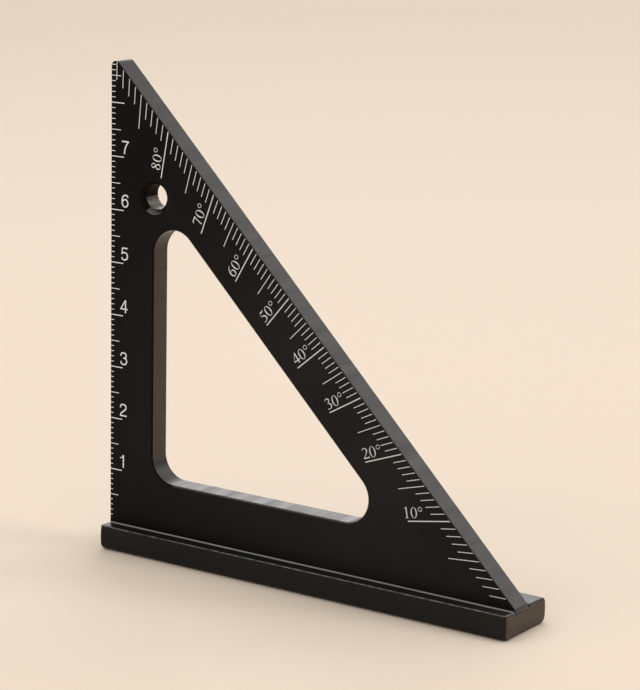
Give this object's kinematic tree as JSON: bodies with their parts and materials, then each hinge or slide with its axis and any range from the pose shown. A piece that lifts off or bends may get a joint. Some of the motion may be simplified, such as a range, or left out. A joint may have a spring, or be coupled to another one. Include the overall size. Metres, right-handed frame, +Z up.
{
  "type": "pocket layout square",
  "caption": "Small right-angled triangular marking square: a thin blade with rule and angle scales, a triangular window and a hanging hole, on a low fence wider than the blade.",
  "frame": {"origin": "middle of the fence's underside, at the bottom centre of the whole part", "axes": "+X along the fence from the rule edge to the 45 degree tip, +Y through the blade from its marked face to its back, +Z up the rule edge away from the fence"},
  "size_m": [0.0894, 0.014, 0.0929],
  "materials": {
    "anodised_blade": "fine satin black anodising, with pale laser marks",
    "anodised_fence": "satin black anodising",
    "black_oxide_steel": "black oxide",
    "ground_steel": "ground"
  },
  "bodies": {
    "root": {"blade": "anodised_blade", "fence": "anodised_fence", "fence_screw_1": "black_oxide_steel", "fence_screw_2": "black_oxide_steel", "fence_screw_3": "black_oxide_steel", "dowel_pin_1": "ground_steel", "dowel_pin_2": "ground_steel"}
  },
  "joints": []
}
